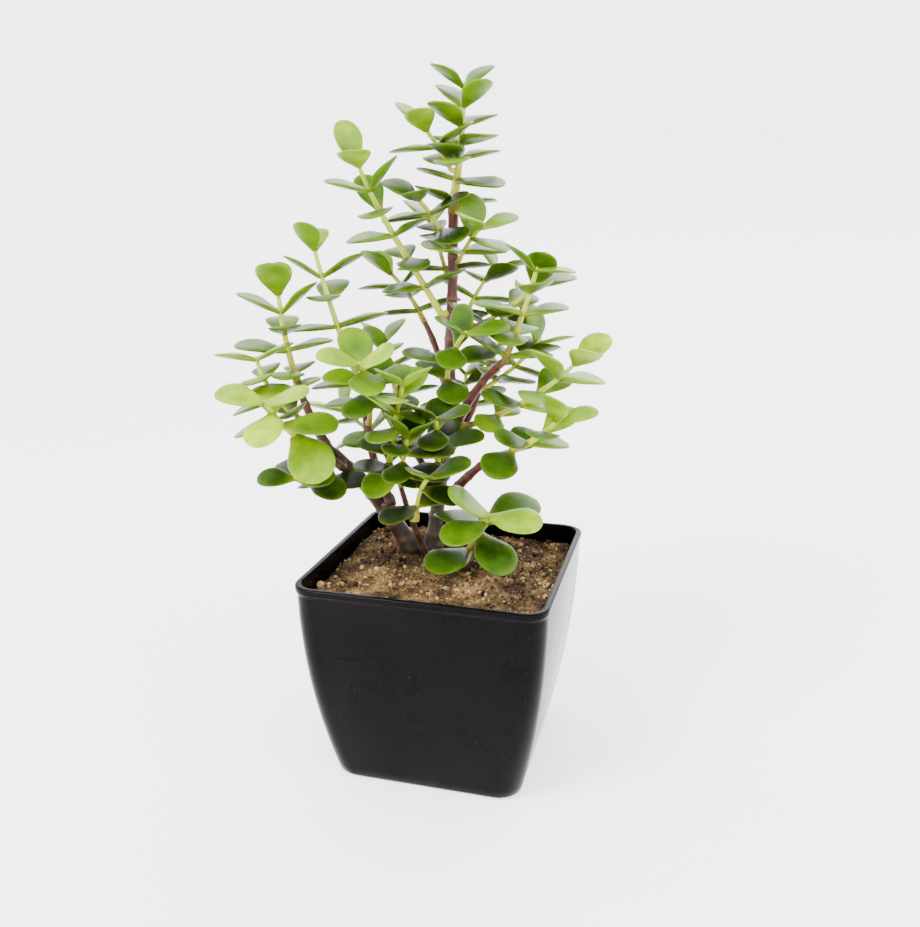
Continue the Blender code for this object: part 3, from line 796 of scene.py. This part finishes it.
def attribute(tree, name):
    """The number that a mesh keeps for every point under a name."""
    node = tree.nodes.new("ShaderNodeAttribute")
    node.attribute_name = name
    return node.outputs["Fac"]


def noise_at(tree, scale, detail=3.0, rough=0.55, stretch=None):
    """Noise in the object's own space, stretched along its axes if asked."""
    where = tree.nodes.new("ShaderNodeTexCoord")
    node = tree.nodes.new("ShaderNodeTexNoise")
    node.inputs["Scale"].default_value = scale
    node.inputs["Detail"].default_value = detail
    node.inputs["Roughness"].default_value = rough
    place = where.outputs["Object"]
    if stretch:
        mapping = tree.nodes.new("ShaderNodeMapping")
        mapping.inputs["Scale"].default_value = stretch
        tree.links.new(place, mapping.inputs["Vector"])
        place = mapping.outputs["Vector"]
    tree.links.new(place, node.inputs["Vector"])
    return node.outputs["Fac"]


def span_of(tree, source, low, high, to_low=0.0, to_high=1.0):
    """A value from low to high moved onto another span."""
    node = tree.nodes.new("ShaderNodeMapRange")
    for key, value in (("From Min", low), ("From Max", high), ("To Min", to_low), ("To Max", to_high)):
        node.inputs[key].default_value = value
    tree.links.new(source, node.inputs["Value"])
    return node.outputs["Result"]


def mixed(tree, share, a, b):
    """Mixes two colours; each of share, a and b is a socket or a fixed value."""
    node = tree.nodes.new("ShaderNodeMix")
    node.data_type = "RGBA"
    for key, value in ((0, share), (6, a), (7, b)):
        if isinstance(value, bpy.types.NodeSocket):
            tree.links.new(value, node.inputs[key])
        elif key == 0:
            node.inputs[key].default_value = value
        else:
            node.inputs[key].default_value = (*value, 1)
    return node.outputs[2]


def sums(tree, operation, a, b):
    """Adds or multiplies two values, each a socket or a fixed number."""
    node = tree.nodes.new("ShaderNodeMath")
    node.operation = operation
    for key, value in enumerate((a, b)):
        if isinstance(value, bpy.types.NodeSocket):
            tree.links.new(value, node.inputs[key])
        else:
            node.inputs[key].default_value = value
    return node.outputs[0]


def bump(tree, shader, height, strength, distance):
    """Fine relief on a shader."""
    node = tree.nodes.new("ShaderNodeBump")
    node.inputs["Strength"].default_value = strength
    node.inputs["Distance"].default_value = distance
    tree.links.new(height, node.inputs["Height"])
    tree.links.new(node.outputs["Normal"], shader.inputs["Normal"])


def leaf_material():
    """Fleshy green, cloudy and finely flecked, with a painted highlight along the rim, and paler below and at
    the foot.
    """
    mat, tree, shader = new_material("leaf_flesh")
    tone = attribute(tree, "tone")
    cloud = noise_at(tree, 90, 3)
    moved = sums(tree, "ADD", tone, span_of(tree, cloud, 0.3, 0.7, -0.12, 0.12))
    body = ramp(tree, LEAF_COLOURS, moved)
    flecks = noise_at(tree, 1300, 2)
    colour = mixed(tree, span_of(tree, flecks, 0.55, 0.75, 0.0, 0.14), body, (0.10, 0.17, 0.005))
    # Painted highlight: the leaf's rim is mixed towards pale yellow-green
    rim = sums(tree, "MULTIPLY", attribute(tree, "edge"), 0.3)
    colour = mixed(tree, rim, colour, (0.13, 0.20, 0.003))
    under = sums(tree, "MULTIPLY", attribute(tree, "under"), 0.22)
    colour = mixed(tree, under, colour, (0.06, 0.10, 0.006))
    foot = span_of(tree, attribute(tree, "span"), 0.0, 0.28, 0.7, 0.0)
    colour = mixed(tree, foot, colour, (0.15, 0.20, 0.004))
    tree.links.new(colour, shader.inputs["Base Color"])
    tree.links.new(span_of(tree, cloud, 0.3, 0.7, 0.28, 0.42), shader.inputs["Roughness"])
    shader.inputs["Specular IOR Level"].default_value = 0.16
    shader.inputs["Subsurface Weight"].default_value = 0.12
    shader.inputs["Subsurface Radius"].default_value = (0.5, 1.0, 0.15)
    shader.inputs["Subsurface Scale"].default_value = 0.003
    bump(tree, shader, noise_at(tree, 420, 4), 0.12, 0.0003)
    return mat


def stem_material():
    """Green skin that turns to red-brown and then dark bark with age, streaked along its length."""
    mat, tree, shader = new_material("stem_skin")
    age = attribute(tree, "age")
    cloud = noise_at(tree, 160, 4)
    moved = sums(tree, "ADD", age, span_of(tree, cloud, 0.3, 0.7, -0.09, 0.09))
    body = ramp(tree, STEM_COLOURS, moved)
    streak = noise_at(tree, 500, 4, 0.6, (1.0, 1.0, 0.25))
    colour = mixed(tree, span_of(tree, streak, 0.45, 0.75, 0.0, 0.35), body, (0.085, 0.045, 0.018))
    scar = sums(tree, "MULTIPLY", attribute(tree, "swell"), 0.35)
    colour = mixed(tree, scar, colour, (0.16, 0.085, 0.03))
    tree.links.new(colour, shader.inputs["Base Color"])
    tree.links.new(span_of(tree, streak, 0.3, 0.7, 0.36, 0.58), shader.inputs["Roughness"])
    shader.inputs["Specular IOR Level"].default_value = 0.3
    bump(tree, shader, streak, 0.35, 0.0005)
    return mat


def pot_material():
    """Black moulded plastic, a little wavy and dusty."""
    mat, tree, shader = new_material("pot_gloss")
    cloud = noise_at(tree, 22, 3)
    dust = noise_at(tree, 260, 5, 0.7)
    cloudy = span_of(tree, cloud, 0.35, 0.65)
    colour = mixed(tree, cloudy, (0.0012, 0.0009, 0.0011), (0.0024, 0.0018, 0.0020))
    dusty = span_of(tree, dust, 0.62, 0.80, 0.0, 0.08)
    colour = mixed(tree, dusty, colour, (0.05, 0.035, 0.03))
    tree.links.new(colour, shader.inputs["Base Color"])
    tree.links.new(span_of(tree, cloud, 0.3, 0.7, 0.12, 0.2), shader.inputs["Roughness"])
    shader.inputs["Specular IOR Level"].default_value = 0.04
    bump(tree, shader, noise_at(tree, 45, 2), 0.025, 0.0006)
    return mat


def soil_material():
    """Grainy brown earth, in darker and paler patches."""
    mat, tree, shader = new_material("soil_grit")
    tone = attribute(tree, "tone")
    grain = noise_at(tree, 900, 5, 0.7)
    patch = noise_at(tree, 70, 3)
    moved = sums(tree, "ADD", tone, span_of(tree, grain, 0.3, 0.7, -0.20, 0.20))
    moved = sums(tree, "ADD", moved, span_of(tree, patch, 0.35, 0.65, -0.24, 0.20))
    body = ramp(tree, SOIL_COLOURS, moved)
    tree.links.new(body, shader.inputs["Base Color"])
    shader.inputs["Roughness"].default_value = 0.92
    shader.inputs["Specular IOR Level"].default_value = 0.15
    bump(tree, shader, grain, 0.6, 0.0006)
    return mat


# ---- Pieces ----

LEAF, STEM, POT, SOIL = leaf_material(), stem_material(), pot_material(), soil_material()


def wood_ages(name):
    """How old a woody stem's skin looks at its foot and its tip: 1 is dark bark, 0.55 red-brown."""
    if name == "trunk":
        return 1.0, 0.56
    if WOOD[name][0] is None:
        return 0.98, 0.75
    return 0.85, 0.55


def shoot_age(name):
    """How old a shoot's stem looks at its foot."""
    parent = SHOOTS[name][0]
    if parent is None:
        return 0.5
    return FOOT_AGES.get(name, FOOT_AGE) if parent in WOOD else 0.2


def wood_piece(name, stem):
    """A woody stem with the rings of its fallen leaves, flared at its foot."""
    rng = np.random.default_rng(sum(map(ord, name)))
    skin = Skin("age", "swell")
    joints = [(k + 0.6) * RING_SPACING / stem.length for k in range(int(stem.length / RING_SPACING))]
    rooted = WOOD[name][0] is None
    sunk = WOOD_ROOT if rooted else 1.6 * stem.radius(0)
    flare = 0.55 if rooted else 0.25
    stem_skin(skin, stem, joints, wood_ages(name), sunk, 0, rng, sides=16, flare=flare, tip_close=0.9)
    skin.piece(name + "_bark", name, "bark", STEM)


def leafy_piece(name, stem, grown):
    """A leafy shoot, its stem ringed at each pair of leaves."""
    rng = np.random.default_rng(sum(map(ord, name)) + 1)
    skin = Skin("tone", "span", "edge", "under", "age", "swell")
    joints = [share for share, _, _ in grown]
    sunk = SHOOT_ROOT if SHOOTS[name][0] is None else 1.6 * stem.radius(0)
    stem_skin(skin, stem, joints, (shoot_age(name), 0.0), sunk, 1, rng)
    base = TONES.get(name, USUAL_TONE)
    for share, _, pair in grown:
        for leaf in pair:
            young = 0.16 * smooth((share - 0.6) / 0.4)
            # Painted shade: leaves low on the plant and near the pot's middle line are given a darker tone
            shade = 0.12 * smooth((SHADE_TOP - leaf.foot[2]) / SHADE_FADE)
            inner = 0.15 * smooth(1 - math.hypot(leaf.foot[0], leaf.foot[1]) / SHADE_REACH)
            tone = base + young - shade - inner + rng.normal(0, 0.09)
            leaf_skin(skin, leaf, min(1.0, max(0.0, tone)), rng)
    skin.piece(name + "_leaves", name, "leaf", LEAF, STEM)


def pot_piece():
    """The moulded pot: convex tapered walls, a proud rim band with a rounded lip, and a thin inner wall."""
    band = POT_HEIGHT - RIM_BAND
    outer = [(pot_width(0) - 3.0 * MM, 0.0), (pot_width(0) - 1.6 * MM, 0.12 * MM)]
    outer += [(pot_width(0) - 0.5 * MM, 0.7 * MM)]
    outer += [(pot_width(z), z) for z in np.linspace(1.6 * MM, band - 1.6 * MM, 26)]
    outer += [(pot_width(band), band - 0.5 * MM), (POT_TOP_WIDTH - 0.7 * MM, band - 0.2 * MM)]
    outer += [(POT_TOP_WIDTH - 0.2 * MM, band), (POT_TOP_WIDTH - 0.02 * MM, band + 0.3 * MM)]
    outer += [(POT_TOP_WIDTH - 0.02 * MM, POT_HEIGHT - 0.9 * MM)]
    for k in range(1, 6):
        t = math.radians(90 * k / 5)
        width = POT_TOP_WIDTH - 2 * LIP_ROUND * (1 - math.cos(t))
        outer.append((width, POT_HEIGHT - LIP_ROUND * (1 - math.sin(t))))
    mouth = POT_TOP_WIDTH - 2 * (RIM_PROUD + POT_WALL)
    inner = []
    for k in range(5):
        t = math.radians(90 * k / 4)
        width = mouth + 2 * INNER_LIP_ROUND * (1 - math.sin(t))
        inner.append((width, POT_HEIGHT - INNER_LIP_ROUND * (1 - math.cos(t))))
    inner += [(pot_width(z) - 2 * POT_WALL, z) for z in np.linspace(POT_HEIGHT - 1.5 * MM, POT_WALL, 12)]
    skin = Skin()
    loops = []
    for rows, corner in ((outer, POT_CORNER), (inner, POT_CORNER - POT_WALL)):
        for width, z in rows:
            loops.append(skin.add(rounded_square(width, corner, z, POT_CORNER_STEPS)))
    for lower, upper in zip(loops, loops[1:]):
        skin.band(lower, upper)
    skin.fan(loops[0], skin.add([(0, 0, 0.4 * MM)])[0], flip=True)
    skin.fan(loops[-1], skin.add([(0, 0, POT_WALL)])[0])
    skin.piece("pot_shell", "pot", "pot_plastic", POT)


def lumps(x, y):
    """Small ups and downs of the soil's surface."""
    p = Vector((x, y, 0.37))
    return (0.9 * MM * noise.noise(p * 90) + 1.0 * MM * noise.noise(p * 230 + Vector((3, 1, 0)))
            + 0.6 * MM * noise.noise(p * 520 + Vector((9, 2, 0))))


def ground(x, y):
    """The height of the drawn soil."""
    return soil_height(x, y) + lumps(x, y) - SOIL_SINK


def soil_outline(width, corner):
    """Points round the soil's edge, close together along its straight sides as well."""
    arcs = rounded_square(width, corner, 0, SOIL_CORNER_STEPS)
    size = SOIL_CORNER_STEPS + 1
    points = []
    for first in range(0, len(arcs), size):
        points += [(x, y) for x, y, _ in arcs[first:first + size]]
        x, y = points[-1]
        next_x, next_y, _ = arcs[(first + size) % len(arcs)]
        for k in range(1, SOIL_SIDE_STEPS):
            s = k / SOIL_SIDE_STEPS
            points.append((x + (next_x - x) * s, y + (next_y - y) * s))
    return points


def ball():
    """The corners of a 20-sided ball, round to about a hundredth, and its faces."""
    level, reach = 0.45, 2 / math.sqrt(5)
    corners = [Vector((0, 0, -1))]
    for first, z in ((-36, -level), (-72, level)):
        for k in range(5):
            t = math.radians(first - 72 * k)
            corner = round(reach * math.cos(t), 2), round(reach * math.sin(t), 2), z
            corners.append(Vector(corner).normalized())
    corners.append(Vector((0, 0, 1)))
    faces = []
    for k in range(5):
        after = (k + 1) % 5
        faces += [(0, 1 + k, 1 + after), (1 + after, 1 + k, 6 + k)]
        faces += [(1 + after, 6 + k, 6 + after), (6 + after, 6 + k, 11)]
    return corners, faces


def crumbs(skin, width, corner):
    """Loose crumbs and grit over the soil, each a squashed ball with its corners moved in and out."""
    corners, faces = ball()
    rng = np.random.default_rng(21)
    half = width / 2 - CRUMB_EDGE
    reach = half - corner
    placed = 0
    while placed < CRUMBS:
        x, y = rng.uniform(-half, half, 2)
        over_x, over_y = abs(x) - reach, abs(y) - reach
        if over_x > 0 and over_y > 0 and math.hypot(over_x, over_y) > corner - CRUMB_EDGE:
            continue
        size = float(np.clip(rng.lognormal(-0.35, 0.5), 0.25, 3.2)) * MM * CRUMB_SIZE
        squash = rng.uniform(0.5, 0.95, 3)
        turn = Matrix.Rotation(rng.uniform(0, 6.28), 3, "Z") @ Matrix.Rotation(rng.uniform(-0.9, 0.9), 3, "X")
        z = ground(x, y) + size * rng.uniform(-0.15, 0.45)
        tone = float(np.clip(rng.normal(0.58, 0.24), 0, 1))
        points = []
        for p in corners:
            q = p * rng.uniform(0.75, 1.1)
            q = turn @ Vector((q.x * squash[0], q.y * squash[1], q.z * squash[2]))
            points.append((x + q.x * size, y + q.y * size, z + q.z * size))
        ids = skin.add(points, tone=tone)
        skin.faces += [tuple(ids[i] for i in face) for face in faces]
        skin.slots += [0] * len(faces)
        placed += 1


def soil_piece():
    """The soil: a body that fits the pot, an uneven surface, and loose crumbs on it."""
    low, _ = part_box("soil")
    top = POT_HEIGHT - SOIL_BELOW_RIM
    edge = soil_width(top)
    corner = POT_CORNER - POT_WALL
    skin = Skin("tone")
    rim = soil_outline(edge, corner)
    loops = []
    for z in np.linspace(low[2], top - 5 * MM, 6):
        snug = soil_width(z) / edge
        loops.append(skin.add([(x * snug, y * snug, z) for x, y in rim], tone=0.2))
    skin.fan(loops[0], skin.add([(0, 0, low[2])], tone=0.2)[0], flip=True)
    loops.append(skin.add([(x, y, soil_height(x, y) - 3 * MM) for x, y in rim], tone=0.2))
    for k in range(SOIL_RINGS):
        share = 1 - k / SOIL_RINGS
        lower = 0.8 * MM if k == 0 else 0
        row = [(x * share, y * share, ground(x * share, y * share) - lower) for x, y in rim]
        tone = [0.5 + 0.25 * noise.noise(Vector((x, y, 0)) * 150) for x, y, _ in row]
        loops.append(skin.add(row, tone=tone))
    for lower, upper in zip(loops, loops[1:]):
        skin.band(lower, upper)
    skin.fan(loops[-1], skin.add([(0, 0, soil_height(0, 0) - SOIL_SINK)], tone=0.4)[0])
    crumbs(skin, edge, corner)
    thing = skin.piece("soil_bed", "soil", "soil", SOIL)
    thing.data.polygons.foreach_set("use_smooth", [False] * len(thing.data.polygons))


def backdrop():
    """A pale floor that curves up into a wall all round."""
    rows = [(0.35, 0.0), (FLOOR_FLAT, 0.0)]
    for k in range(1, 13):
        t = math.radians(90 * k / 12)
        rows.append((FLOOR_FLAT + FLOOR_CURVE * math.sin(t), FLOOR_CURVE * (1 - math.cos(t))))
    rows.append((FLOOR_FLAT + FLOOR_CURVE, WALL_TOP))
    n = FLOOR_AROUND
    turns = [2 * math.pi * k / n for k in range(n)]
    points = [(r * math.cos(t), r * math.sin(t), z) for r, z in rows for t in turns] + [(0, 0, 0)]
    faces = [(i * n + k, (i + 1) * n + k, (i + 1) * n + (k + 1) % n, i * n + (k + 1) % n)
             for i in range(len(rows) - 1) for k in range(n)]
    faces += [(k, (k + 1) % n, len(points) - 1) for k in range(n)]
    mesh = bpy.data.meshes.new("studio_floor")
    mesh.from_pydata(points, [], faces)
    mesh.polygons.foreach_set("use_smooth", [True] * len(faces))
    mat, _, shader = new_material("studio_pale")
    shader.inputs["Base Color"].default_value = (0.86, 0.86, 0.87, 1)
    shader.inputs["Roughness"].default_value = 0.8
    shader.inputs["Specular IOR Level"].default_value = 0.2
    shader.inputs["Emission Color"].default_value = (1.0, 1.0, 1.0, 1)
    shader.inputs["Emission Strength"].default_value = 0.9
    mesh.materials.append(mat)
    floor = bpy.data.objects.new("studio_floor", mesh)
    bpy.context.scene.collection.objects.link(floor)


def lights():
    """Even white light from all round, and three soft lamps."""
    world = bpy.data.worlds.new("studio_air")
    bpy.context.scene.world = world
    world.use_nodes = True
    air = world.node_tree.nodes["Background"].inputs
    air["Color"].default_value = (1.0, 1.0, 1.0, 1)
    air["Strength"].default_value = 1.9
    aim = Vector((0, 0, LAMP_AIM_HEIGHT))
    for name, (place, size, power) in LAMPS.items():
        lamp = bpy.data.lights.new(name, "AREA")
        lamp.size, lamp.energy = size, power
        thing = bpy.data.objects.new(name, lamp)
        thing.location = place
        thing.rotation_euler = (aim - Vector(place)).to_track_quat("-Z", "Y").to_euler()
        bpy.context.scene.collection.objects.link(thing)


def camera():
    """The camera, at the photograph's viewing angle."""
    lens = bpy.data.cameras.new("view")
    lens.sensor_width, lens.lens, lens.clip_start = SENSOR_WIDTH, VIEW_LENS, 0.01
    view = bpy.data.objects.new("view", lens)
    _, high = CAD_BOX
    aim = Vector((*VIEW_AIM, VIEW_AIM_HEIGHT * high[2]))
    towards = Vector(facing(VIEW_HEADING, VIEW_RISE))
    view.location = aim + towards * VIEW_DISTANCE
    view.rotation_euler = towards.to_track_quat("Z", "Y").to_euler()
    bpy.context.scene.collection.objects.link(view)
    bpy.context.scene.camera = view


def grow_all():
    """The plant: every stem, then its leaves where there is room for them, then a piece for each."""
    found = stems()
    room = Room()
    for body in (pot_body(), soil_body()):
        room.put(*tree_of(body), "pot")
    for name, stem in found.items():
        room.put(*tree_of(stem_body(stem)), name)
    leaves = grow_leaves(found, room)
    for name in WOOD:
        wood_piece(name, found[name])
    for name in SHOOTS:
        leafy_piece(name, found[name], leaves[name])


grow_all()
pot_piece()
soil_piece()
backdrop()
lights()
camera()
